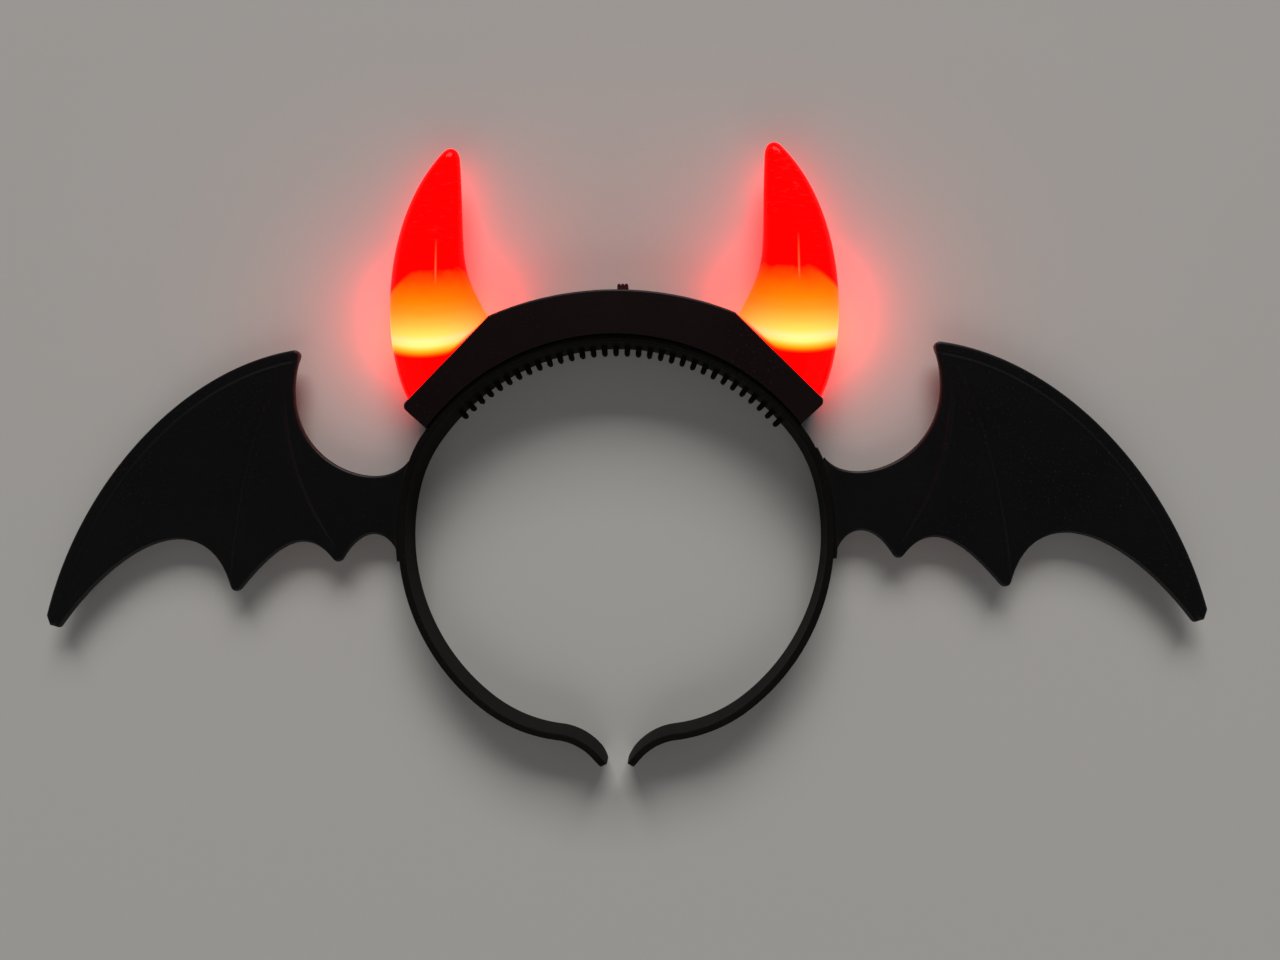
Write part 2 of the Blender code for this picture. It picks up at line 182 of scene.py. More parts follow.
def new_tree(name, kind, inputs, outputs):
    """A node group with named sockets, each given as name, socket type and value."""
    tree = bpy.data.node_groups.new(name, kind)
    for label, socket, value in inputs:
        made = tree.interface.new_socket(label, in_out="INPUT", socket_type=socket)
        if value is not None:
            made.default_value = value
    for label, socket in outputs:
        tree.interface.new_socket(label, in_out="OUTPUT", socket_type=socket)
    return tree, tree.nodes.new("NodeGroupInput").outputs, tree.nodes.new("NodeGroupOutput").inputs


def surface_group():
    """Moulded plastic: fine grain, soft waves, rubbed spots and dust, as values only."""
    tree, given, result = new_tree("moulded surface", "ShaderNodeTree", (
        ("Grain Scale", "NodeSocketFloat", 2600.0),
        ("Grain Height", "NodeSocketFloat", 0.6),
        ("Wave Height", "NodeSocketFloat", 0.8),
        ("Rubbing", "NodeSocketFloat", 0.5),
        ("Dust", "NodeSocketFloat", 0.3),
    ), (("Height", "NodeSocketFloat"), ("Rubbed", "NodeSocketFloat"),
        ("Dusty", "NodeSocketFloat"), ("Cloud", "NodeSocketFloat")))
    where = tree.nodes.new("ShaderNodeTexCoord").outputs["Object"]
    stretched = place(tree, "ShaderNodeMapping", {
        "Vector": where, "Rotation": (0.0, 0.0, 0.5), "Scale": (1.0, 5.0, 2.0)}).outputs[0]
    grain = place(tree, "ShaderNodeTexNoise", {
        "Vector": where, "Scale": given["Grain Scale"], "Detail": 2.0}).outputs[0]
    wave = place(tree, "ShaderNodeTexNoise", {
        "Vector": where, "Scale": 110.0, "Detail": 1.0}).outputs[0]
    scratch = place(tree, "ShaderNodeTexNoise", {
        "Vector": stretched, "Scale": 320.0, "Detail": 4.0}).outputs[0]
    patch = place(tree, "ShaderNodeTexNoise", {
        "Vector": where, "Scale": 38.0, "Detail": 3.0}).outputs[0]
    speck = place(tree, "ShaderNodeTexNoise", {
        "Vector": where, "Scale": 1500.0, "Detail": 1.0}).outputs[0]

    def band_of(value, low, high):
        return place(tree, "ShaderNodeMapRange", {
            "Value": value, "From Min": low, "From Max": high}).outputs[0]

    rubbed = calculate(tree, "MULTIPLY", band_of(scratch, 0.56, 0.72), band_of(patch, 0.42, 0.62))
    dusty = calculate(tree, "MULTIPLY", band_of(speck, 0.64, 0.74), band_of(patch, 0.60, 0.40))
    tree.links.new(calculate(tree, "MULTIPLY", rubbed, given["Rubbing"]), result["Rubbed"])
    tree.links.new(calculate(tree, "MULTIPLY", dusty, given["Dust"]), result["Dusty"])
    tree.links.new(patch, result["Cloud"])
    fine = calculate(tree, "MULTIPLY", grain, given["Grain Height"])
    tree.links.new(calculate(tree, "MULTIPLY_ADD", wave, given["Wave Height"], fine),
                   result["Height"])
    return tree


def new_material(name):
    made = bpy.data.materials.new(name)
    made.use_nodes = True
    return made, made.node_tree, made.node_tree.nodes["Principled BSDF"]


def mixed(tree, factor, first, second):
    """One colour that turns into another; each is a socket or a colour."""
    inputs = {0: factor, 6: first, 7: second}
    return place(tree, "ShaderNodeMix", inputs, data_type="RGBA").outputs[2]


def moulded_plastic(name, colour, rubbed_colour, roughness, grain, rubbing, gloss, dust=0.08):
    """Opaque moulded plastic with its grain, rubbed spots and dust."""
    made, tree, shader = new_material(name)
    surface = place(tree, "ShaderNodeGroup", node_tree=MOULDED_SURFACE)
    for label, value in (("Grain Height", grain), ("Rubbing", rubbing), ("Dust", dust)):
        surface.inputs[label].default_value = value
    worn = mixed(tree, surface.outputs["Rubbed"], (*colour, 1), (*rubbed_colour, 1))
    tree.links.new(mixed(tree, surface.outputs["Dusty"], worn, DUST_COLOUR),
                   shader.inputs["Base Color"])
    rough = calculate(tree, "MULTIPLY_ADD", surface.outputs["Cloud"], CLOUD_ROUGHENS,
                      roughness - CLOUD_ROUGHENS / 2)
    rough = calculate(tree, "MULTIPLY_ADD", surface.outputs["Rubbed"], -RUBBING_SMOOTHS, rough)
    tree.links.new(
        calculate(tree, "MULTIPLY_ADD", surface.outputs["Dusty"], DUST_ROUGHENS, rough),
        shader.inputs["Roughness"])
    bump = place(tree, "ShaderNodeBump", {
        "Height": surface.outputs["Height"], "Distance": GRAIN_DISTANCE, "Strength": 0.5})
    tree.links.new(bump.outputs[0], shader.inputs["Normal"])
    shader.inputs["Specular IOR Level"].default_value = gloss
    return made


def mesh_object(name, mesh, finish):
    if finish:
        mesh.materials.clear()
        mesh.materials.append(finish)
    made = bpy.data.objects.new(name, mesh)
    bpy.context.collection.objects.link(made)
    return made


def finished(obj):
    """Takes an object as its modifiers leave it, as a plain mesh with no modifiers."""
    bpy.context.view_layer.update()
    graph = bpy.context.evaluated_depsgraph_get()
    mesh = bpy.data.meshes.new_from_object(
        obj.evaluated_get(graph), preserve_all_data_layers=True, depsgraph=graph)
    obj.modifiers.clear()
    obj.data = mesh
    return obj


def smoothed(obj, sharp_angle):
    """Smooth shading that keeps flat faces flat beside their rounded edges."""
    obj.data.shade_smooth()
    obj.data.set_sharp_from_angle(angle=math.radians(sharp_angle))
    weighted = obj.modifiers.new("flat faces", "WEIGHTED_NORMAL")
    weighted.keep_sharp = True
    weighted.weight = 100
    return finished(obj)


def use_nodes(obj, tree, **inputs):
    """Runs a geometry tree on an object, with its inputs set by name."""
    modifier = obj.modifiers.new(tree.name, "NODES")
    modifier.node_group = tree
    for item in tree.interface.items_tree:
        key = item.name.replace(" ", "_").lower()
        if item.in_out == "INPUT" and key in inputs:
            modifier[item.identifier] = inputs[key]
    return finished(obj)


def band_tree():
    """Sweeps a rounded bar along the spine, as deep as each slice's back and front say."""
    tree, given, result = new_tree("hair band sweep", "GeometryNodeTree", (
        ("Spine", "NodeSocketGeometry", None),
        ("Thickness", "NodeSocketFloat", 0.002),
        ("Edge Radius", "NodeSocketFloat", 0.0005),
        ("Plastic", "NodeSocketMaterial", None),
    ), (("Geometry", "NodeSocketGeometry"),))

    def stored(geometry, name, value):
        return place(tree, "GeometryNodeStoreNamedAttribute", {
            "Geometry": geometry, "Name": name, "Value": value},
            data_type="FLOAT", domain="POINT").outputs[0]

    def named(name, kind="FLOAT"):
        return place(tree, "GeometryNodeInputNamedAttribute", {"Name": name},
                     data_type=kind).outputs[0]

    spine = place(tree, "GeometryNodeMeshToCurve", {"Mesh": given["Spine"]}).outputs[0]
    bar = place(tree, "GeometryNodeCurvePrimitiveQuadrilateral", {
        "Width": given["Thickness"], "Height": BAR_DEPTH}).outputs[0]
    bar = place(tree, "GeometryNodeFilletCurve", {
        "Curve": bar, "Radius": given["Edge Radius"], "Count": 5}, mode="POLY").outputs[0]
    corner = place(tree, "ShaderNodeSeparateXYZ", {
        0: tree.nodes.new("GeometryNodeInputPosition").outputs[0]}).outputs
    inset = calculate(tree, "SUBTRACT", BAR_DEPTH / 2,
                      calculate(tree, "ABSOLUTE", corner[1]))
    bar = stored(bar, "across", corner[0])
    bar = stored(bar, "inset", inset)
    bar = stored(bar, "is_front", calculate(tree, "GREATER_THAN", corner[1], 0.0))
    swept = place(tree, "GeometryNodeCurveToMesh", {
        "Curve": spine, "Profile Curve": bar, "Fill Caps": True}).outputs[0]
    half = calculate(tree, "MULTIPLY", given["Thickness"], 0.5)
    out = calculate(tree, "MULTIPLY_ADD", named("across"), named("full"), half)
    back = calculate(tree, "ADD", named("back"), named("inset"))
    front = calculate(tree, "SUBTRACT", named("front"), named("inset"))
    span = calculate(tree, "SUBTRACT", front, back)
    height = calculate(tree, "MULTIPLY_ADD", span, named("is_front"), back)
    raised = place(tree, "ShaderNodeCombineXYZ", {2: height}).outputs[0]
    moved = place(tree, "ShaderNodeVectorMath", {
        0: named("outward", "FLOAT_VECTOR"), "Scale": out}, operation="SCALE").outputs[0]
    moved = place(tree, "ShaderNodeVectorMath", {
        0: named("spine", "FLOAT_VECTOR"), 1: moved}, operation="ADD").outputs[0]
    moved = place(tree, "ShaderNodeVectorMath", {0: moved, 1: raised}, operation="ADD").outputs[0]
    shaped = place(tree, "GeometryNodeSetPosition", {
        "Geometry": swept, "Position": moved}).outputs[0]
    whole = place(tree, "GeometryNodeRealizeInstances", {"Geometry": shaped}).outputs[0]
    coloured = place(tree, "GeometryNodeSetMaterial", {
        "Geometry": whole, "Material": given["Plastic"]}).outputs[0]
    tree.links.new(coloured, result[0])
    return tree


def spine_mesh():
    stations = band_stations()
    mesh = bpy.data.meshes.new("hair_band")
    points = [on_headband(p.x, p.y, 0) for p, *_ in stations]
    mesh.from_pydata(points, [(i, i + 1) for i in range(len(points) - 1)], [])
    values = {
        "spine": ("FLOAT_VECTOR", points),
        "outward": ("FLOAT_VECTOR", [station[1].to_3d() for station in stations]),
        "back": ("FLOAT", [station[2] * MM for station in stations]),
        "front": ("FLOAT", [station[3] * MM for station in stations]),
        "full": ("FLOAT", [station[4] for station in stations]),
    }
    for name, (kind, column) in values.items():
        field = "vector" if kind == "FLOAT_VECTOR" else "value"
        stored = mesh.attributes.new(name, kind, "POINT")
        for item, value in zip(stored.data, column):
            setattr(item, field, value)
    return mesh


def faced_outwards(obj):
    bm = bmesh.new()
    bm.from_mesh(obj.data)
    bmesh.ops.recalc_face_normals(bm, faces=bm.faces)
    bm.to_mesh(obj.data)
    bm.free()
    return obj


MOULDED_SURFACE = surface_group()
BAND_PLASTIC = moulded_plastic(
    "black band plastic", (0.0062, 0.0050, 0.0045), (0.012, 0.010, 0.009), roughness=0.62,
    grain=0.5, rubbing=0.5, gloss=0.06)

hair_band = mesh_object("hair_band", spine_mesh(), None)
use_nodes(hair_band, band_tree(), thickness=BAND_THICKNESS * MM, edge_radius=BAND_EDGE * MM,
          plastic=BAND_PLASTIC)
smoothed(faced_outwards(hair_band), 42)
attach(hair_band, "headband")
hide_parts("band")

# Comb teeth: one row of short round-ended pegs that grips the hair, moulded in one with the
# inside of the crown.

TOOTH_COUNT = 32
TEETH_LEFT_OF_MIDDLE = 14.8
TOOTH_PITCH = 3.42
TOOTH_LENGTH = 3.0
TOOTH_WIDTH = 1.7
TOOTH_DEPTH = 3.2
TOOTH_MIDDLE_Z = 7.0
TOOTH_SUNK = 0.5
TOOTH_ROOT = ((0.12, 1.22), (-0.05, 1.12), (-0.3, 1.03), (-0.7, 1.0))
TOOTH_TAPER = 0.96
TOOTH_SIDES = 16


def loft(bm, rings, close_start=True, close_end=True):
    """Joins rings of equal count into a tube."""
    loops = [[bm.verts.new(point) for point in ring] for ring in rings]
    for low, high in zip(loops, loops[1:]):
        for i in range(len(low)):
            j = (i + 1) % len(low)
            bm.faces.new((low[i], low[j], high[j], high[i]))
    if close_start:
        bm.faces.new(loops[0][::-1])
    if close_end:
        bm.faces.new(loops[-1])
    return loops


def tooth_mesh():
    """One tooth with its root at the origin, pointing down, round at its end."""
    half, deep = TOOTH_WIDTH / 2, TOOTH_DEPTH / 2
    slices = [(TOOTH_SUNK, 1.22), *TOOTH_ROOT]
    slices += [(half - TOOTH_LENGTH - half * math.sin(math.radians(a)),
                TOOTH_TAPER * math.cos(math.radians(a))) for a in (0, 18, 36, 52, 66, 78, 86)]
    rings = []
    for y, share in slices:
        ring = []
        for i in range(TOOTH_SIDES):
            turn = direction(360 * (i + 0.5) / TOOTH_SIDES)
            x = half * share * math.copysign(abs(turn.x) ** 0.7, turn.x)
            depth_share = max(share, 0.0) ** 0.5 if share < 1 else 1 + (share - 1) * 0.5
            z = deep * depth_share * math.copysign(abs(turn.y) ** 0.45, turn.y)
            ring.append(Vector((x, y, z)) * MM)
        rings.append(ring)
    bm = bmesh.new()
    loft(bm, rings)
    mesh = bpy.data.meshes.new("comb_teeth")
    bm.to_mesh(mesh)
    bm.free()
    return mesh


def comb_tree():
    """Sets the tooth out in a row along the inside of the crown."""
    tree, given, result = new_tree("comb row", "GeometryNodeTree", (
        ("Tooth", "NodeSocketGeometry", None),
        ("Count", "NodeSocketInt", 32),
        ("Left Of Middle", "NodeSocketFloat", 15.0),
        ("Pitch Angle", "NodeSocketFloat", 0.05),
        ("Crown Radius", "NodeSocketFloat", 0.065),
        ("Crown Centre", "NodeSocketVector", (0, 0, 0)),
        ("Plastic", "NodeSocketMaterial", None),
    ), (("Geometry", "NodeSocketGeometry"),))
    place_number = tree.nodes.new("GeometryNodeInputIndex").outputs[0]
    steps = calculate(tree, "SUBTRACT", place_number, given["Left Of Middle"])
    angle = calculate(tree, "MULTIPLY", steps, given["Pitch Angle"])
    spot = place(tree, "ShaderNodeCombineXYZ", {
        0: calculate(tree, "SINE", angle), 1: calculate(tree, "COSINE", angle)}).outputs[0]
    spot = place(tree, "ShaderNodeVectorMath", {
        0: spot, "Scale": given["Crown Radius"]}, operation="SCALE").outputs[0]
    spot = place(tree, "ShaderNodeVectorMath", {
        0: spot, 1: given["Crown Centre"]}, operation="ADD").outputs[0]
    points = place(tree, "GeometryNodePoints", {
        "Count": given["Count"], "Position": spot}).outputs[0]
    turn = place(tree, "ShaderNodeCombineXYZ", {
        2: calculate(tree, "MULTIPLY", angle, -1.0)}).outputs[0]
    turn = place(tree, "FunctionNodeEulerToRotation", {0: turn}).outputs[0]
    row = place(tree, "GeometryNodeInstanceOnPoints", {
        "Points": points, "Instance": given["Tooth"], "Rotation": turn}).outputs[0]
    whole = place(tree, "GeometryNodeRealizeInstances", {"Geometry": row}).outputs[0]
    coloured = place(tree, "GeometryNodeSetMaterial", {
        "Geometry": whole, "Material": given["Plastic"]}).outputs[0]
    tree.links.new(coloured, result[0])
    return tree


comb_teeth = mesh_object("comb_teeth", tooth_mesh(), None)
use_nodes(comb_teeth, comb_tree(), count=TOOTH_COUNT, left_of_middle=TEETH_LEFT_OF_MIDDLE,
          pitch_angle=TOOTH_PITCH / CROWN_RADIUS, crown_radius=CROWN_RADIUS * MM,
          crown_centre=on_headband(0, CROWN_CENTRE_Y, TOOTH_MIDDLE_Z), plastic=BAND_PLASTIC)
smoothed(faced_outwards(comb_teeth), 60)
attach(comb_teeth, "headband")
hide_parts("band")

# Housing: a black moulded box over the crown that holds the lamps and cells, with an arched
# top, two sloping flanks for the horns, and a slot for the switch.

GAP = 0.3
HOUSING_DEPTH = 18.5
HOUSING_TOP_Y = 74.3
HOUSING_TOP_RADIUS = 92.0
FLANK_START_X = 35.2
FLANK_END = (60.5, 41.7)
HOUSING_END_ANGLE = 37.6
HOUSING_CORNER = 1.8
HOUSING_EDGE = 0.7
HOUSING_SEAM = 0.04
SEAT_EDGE_SHARE = 0.3
SLOT_CENTRE_X = 1.0
SLOT_DEPTH = 2.6
SLOT_HALF_Z = 2.0
SWITCH_TRAVEL = 4.0
KNOB_WIDTH = 3.2


def arc_points(centre, radius, first, last, steps):
    return [Vector(centre) + radius * direction(first + (last - first) * i / steps)
            for i in range(steps + 1)]


def fillet(before, corner, after, radius, steps=8):
    """Points of a round corner between two straight lines."""
    a, b = (before - corner).normalized(), (after - corner).normalized()
    half = a.angle(b) / 2
    centre = corner + (a + b).normalized() * radius / math.sin(half)
    start, end = corner + a * radius / math.tan(half), corner + b * radius / math.tan(half)
    first, last = (start - centre).normalized(), (end - centre).normalized()
    return [centre + radius * first.slerp(last, i / steps) for i in range(steps + 1)]


def flank():
    """Start and end of the housing's sloping right flank."""
    centre_y = HOUSING_TOP_Y - HOUSING_TOP_RADIUS
    start_y = centre_y + math.sqrt(HOUSING_TOP_RADIUS**2 - FLANK_START_X**2)
    return Vector((FLANK_START_X, start_y)), Vector(FLANK_END)


def mirrored(points):
    return [Vector((-p.x, p.y)) for p in reversed(points)]


def housing_outline():
    """The housing from the front, turning left along its top, with points at the slot."""
    start, end = flank()
    slot_half = KNOB_WIDTH / 2 + SWITCH_TRAVEL / 2 + GAP
    across = [-FLANK_START_X + 2 * FLANK_START_X * i / 64 for i in range(1, 64)]
    across += [SLOT_CENTRE_X - slot_half, SLOT_CENTRE_X + slot_half]
    centre_y = HOUSING_TOP_Y - HOUSING_TOP_RADIUS
    top = [Vector((x, centre_y + math.sqrt(HOUSING_TOP_RADIUS**2 - x * x)))
           for x in sorted(across, reverse=True)]
    seat = CROWN_RADIUS + BAND_THICKNESS + HOUSING_SEAM
    below = arc_points((0, CROWN_CENTRE_Y), seat, 180 - HOUSING_END_ANGLE, HOUSING_END_ANGLE, 90)
    upper = fillet(end, start, top[0], HOUSING_CORNER)
    lower = fillet(below[-1], end, start, HOUSING_CORNER)
    return below + lower + upper + top + mirrored(upper) + mirrored(lower)


def inset_loop(outline, distance, share_at=None):
    """Moves a closed outline inwards, by a share of the distance where one is given."""
    moved = []
    for i, point in enumerate(outline):
        step = distance * share_at(point) if share_at else distance
        before = (point - outline[i - 1]).normalized()
        after = (outline[(i + 1) % len(outline)] - point).normalized()
        normal = Vector((-before.y - after.y, before.x + after.x)).normalized()
        lean = normal.dot(Vector((-before.y, before.x)))
        moved.append(point + normal * step / max(lean, 0.5))
    return moved


def seat_edge_share(point):
    """The housing's edge is sharper where it closes on the band."""
    from_seat = (point - Vector((0, CROWN_CENTRE_Y))).length - CROWN_RADIUS - BAND_THICKNESS
    return SEAT_EDGE_SHARE + (1 - SEAT_EDGE_SHARE) * smooth_step(0.3, 1.5, from_seat)


def anticlockwise(outline):
    area = sum(a.x * b.y - b.x * a.y for a, b in zip(outline, outline[1:] + outline[:1]))
    return outline if area > 0 else outline[::-1]


def rounded_slab(bm, outline, low, high, radius, steps=5, levels=(), share_at=None):
    """A flat piece of an outline's shape whose back and front edges are rounded."""
    outline = anticlockwise([Vector(p) for p in outline])
    turns = [90 * i / steps for i in range(steps + 1)]
    sides = [(radius * (1 - math.sin(math.radians(a))), low + radius * (1 - math.cos(
        math.radians(a)))) for a in turns]
    sides += [(0.0, level) for level in levels]
    sides += [(radius * (1 - math.sin(math.radians(a))), high - radius * (1 - math.cos(
        math.radians(a)))) for a in reversed(turns)]
    rings = [[on_headband(*p, z) for p in inset_loop(outline, inset, share_at)]
             for inset, z in sides]
    return loft(bm, rings)


def object_from(bm, name, finish):
    bmesh.ops.recalc_face_normals(bm, faces=bm.faces)
    mesh = bpy.data.meshes.new(name)
    bm.to_mesh(mesh)
    bm.free()
    return mesh_object(name, mesh, finish)


def cut_slot(bm):
    """Opens the switch slot in the top wall and gives it walls and a floor."""
    slot_half = KNOB_WIDTH / 2 + SWITCH_TRAVEL / 2 + GAP
    middle = HOUSING_DEPTH / 2
    top = on_headband(0, HOUSING_TOP_Y - 1.0, 0).y
    inside = []
    for face in bm.faces:
        spot = face.calc_center_median() / MM
        if (abs(spot.x - SLOT_CENTRE_X) < slot_half and abs(spot.z - middle) < SLOT_HALF_Z
                and spot.y * MM > top):
            inside.append(face)
    bmesh.ops.delete(bm, geom=inside, context="FACES")
    rim = [edge for edge in bm.edges if edge.is_boundary]
    floor = on_headband(0, HOUSING_TOP_Y - SLOT_DEPTH, 0).y
    # The walls are made edge by edge, since an extrusion gives its faces in a varying order.
    below = {}
    for edge in rim:
        for vert in edge.verts:
            if vert not in below:
                below[vert] = bm.verts.new((vert.co.x, floor, vert.co.z))
    for edge in rim:
        first, second = edge.verts
        bm.faces.new((first, second, below[second], below[first]))
    bmesh.ops.holes_fill(bm, edges=[edge for edge in bm.edges if edge.is_boundary], sides=0)


# The red tint in both colours is painted red light from the horns on the black plastic.
HOUSING_PLASTIC_PAINTED_RED = moulded_plastic(
    "black housing plastic", (0.0072, 0.0016, 0.0016), (0.014, 0.008, 0.008), roughness=0.40,
    grain=0.7, rubbing=0.6, gloss=0.20)

housing_bm = bmesh.new()
rounded_slab(housing_bm, housing_outline(), 0, HOUSING_DEPTH, HOUSING_EDGE, levels=(
    HOUSING_DEPTH / 2 - SLOT_HALF_Z, HOUSING_DEPTH / 2 + SLOT_HALF_Z), share_at=seat_edge_share)
cut_slot(housing_bm)
lamp_housing = smoothed(object_from(housing_bm, "lamp_housing", HOUSING_PLASTIC_PAINTED_RED), 42)
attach(lamp_housing, "headband")
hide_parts("housing")

# Slide switch: a small black knob with three finger ridges, which stands out of the slot
# and slides 4 mm across. Its dark red is painted red light from the horns.
# It is shown switched on.

KNOB_HALF_Z = 1.7
KNOB_RISE = 2.5
KNOB_RIDGES = 3
RIDGE_RISE = 0.5
KNOB_EDGE = 0.12


def knob_outline():
    half, low = KNOB_WIDTH / 2, HOUSING_TOP_Y - SLOT_DEPTH + GAP
    shoulder = HOUSING_TOP_Y + KNOB_RISE
    outline = [Vector((-half, low)), Vector((half, low))]
    pitch = KNOB_WIDTH / KNOB_RIDGES
    for i in range(KNOB_RIDGES):
        for step in range(10):
            share = step / 10
            rise = RIDGE_RISE * math.sqrt(math.sin(math.pi * share))
            outline.append(Vector((half - (i + share) * pitch, shoulder + rise)))
    outline.append(Vector((-half, shoulder)))
    x = SLOT_CENTRE_X + SWITCH_TRAVEL / 2
    return [p + Vector((x, 0)) for p in outline]


# The dark red here is painted red light from the horns on the knob's black plastic.
KNOB_PLASTIC_PAINTED_RED = moulded_plastic(
    "switch plastic with painted red light", (0.045, 0.002, 0.004), (0.075, 0.008, 0.010), roughness=0.40,
    grain=0.3, rubbing=0.7, gloss=0.3, dust=0.2)

knob_bm = bmesh.new()
rounded_slab(knob_bm, knob_outline(), HOUSING_DEPTH / 2 - KNOB_HALF_Z,
             HOUSING_DEPTH / 2 + KNOB_HALF_Z, KNOB_EDGE, steps=3)
slide_knob = smoothed(object_from(knob_bm, "slide_knob", KNOB_PLASTIC_PAINTED_RED), 35)
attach(slide_knob, "switch")
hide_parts("switch_knob")

# Horns: two clear red plastic shells on the flanks, lit by a lamp inside. A bright zone with a
# sharp lower edge shows where the lamp sits, and the rest glows an even red.

HORN_BASE_START = 0.9
HORN_BASE_END = 35.0
HORN_INNER_HANDLES = ((46.2, 85.2), (43.2, 82.6))
HORN_INNER_END = (44.7, 114.5)
HORN_OUTER_HANDLES = ((69.4, 59.6), (68.2, 96.6))
HORN_OUTER_END = (51.0, 115.3)
HORN_INNER_CAP = ((44.8, 116.3), (45.5, 118.0))
HORN_OUTER_CAP = ((49.7, 116.8), (48.9, 118.0))
HORN_APEX = (47.3, 118.03)
HORN_CAP_RINGS = 18
HORN_BASE_DEPTH = 16.5
HORN_TIP_DEPTH = 6.0
HORN_DEPTH_POWER = 1.8
HORN_SEAM = 0.05
HORN_RINGS = 56
HORN_SIDES = 80
HORN_GLOW = 12.0
HORN_REST_GLOW = 0.25
HORN_RED = (0.55, 0.001, 0.001, 1)
HORN_RUBBED_RED = (0.62, 0.03, 0.03, 1)
LIT_LOW_Y = 55.5
LIT_HEIGHT = 25.3
LIT_MIDDLE_X = 54.0
LIT_BOW = 0.016
LIT_SIDE_FADE = 0.0022
LIT_RAGGED = 0.14
LIT_STOPS = (
    (0.000, 0.0, 0.0), (0.020, 0.045, 0.0), (0.045, 0.25, 0.0), (0.085, 0.62, 0.03),
    (0.130, 1.0, 0.24), (0.185, 1.0, 0.36), (0.250, 0.86, 0.14), (0.370, 0.58, 0.065),
    (0.500, 0.36, 0.018), (0.620, 0.25, 0.002), (0.750, 0.16, 0.0), (0.880, 0.075, 0.0),
    (0.950, 0.035, 0.0), (1.000, 0.0, 0.0),
)
LIT_FLANK_SIDE = (25.6, 25.3)
LIT_OUTER_CORNER = (58.9, 80.5)
LIT_OUTER_SIDE = (-4.5, -6.2)
# The streak is a painted highlight: a thin bright line drawn in the glow down the front of each
# horn.
STREAK_SHIFT = 1.4
STREAK_OUT = 52.1
STREAK_HALF_WIDTH = (0.42, 0.05)
STREAK_ENDS = ((76.5, 79.5), (90.5, 82.0))
STREAK_DEPTH = (0.010, 0.013)
STREAK_GREEN, STREAK_BLUE = 0.11, 0.03


def horn_sections():
    """Middle, direction across, half width and half depth of each slice, flank to tip."""
    start, end = flank()
    along = (end - start).normalized()
    out = Vector((-along.y, along.x)) * HORN_SEAM
    inner_edge = interpolate_bezier(
        start + along * HORN_BASE_START + out, *map(Vector, HORN_INNER_HANDLES),
        Vector(HORN_INNER_END), HORN_RINGS)
    outer_edge = interpolate_bezier(
        start + along * HORN_BASE_END + out, *map(Vector, HORN_OUTER_HANDLES),
        Vector(HORN_OUTER_END), HORN_RINGS)
    sections = []
    for i, (inner, outer) in enumerate(zip(inner_edge, outer_edge)):
        share = (i / (HORN_RINGS - 1)) ** HORN_DEPTH_POWER
        depth = HORN_BASE_DEPTH + (HORN_TIP_DEPTH - HORN_BASE_DEPTH) * share
        across = (outer - inner).normalized()
        sections.append(((inner + outer) / 2, across, (outer - inner).length / 2, depth / 2))
    _, _, half, half_depth = sections[-1]
    inner_cap = interpolate_bezier(
        Vector(HORN_INNER_END), *map(Vector, HORN_INNER_CAP), Vector(HORN_APEX), HORN_CAP_RINGS)
    outer_cap = interpolate_bezier(
        Vector(HORN_OUTER_END), *map(Vector, HORN_OUTER_CAP), Vector(HORN_APEX), HORN_CAP_RINGS)
    for inner, outer in list(zip(inner_cap, outer_cap))[1:-1]:
        narrow = (outer - inner).length / 2
        across = (outer - inner).normalized()
        sections.append(((inner + outer) / 2, across, narrow, half_depth * narrow / half))
    return sections


def horn_ring(section, side):
    middle, across, half_width, half_depth = section
    ring = []
    for i in range(HORN_SIDES):
        turn = direction(360 * i / HORN_SIDES)
        point = middle + across * half_width * turn.x
        ring.append(on_headband(side * point.x, point.y, HOUSING_DEPTH / 2 + half_depth * turn.y))
    return ring


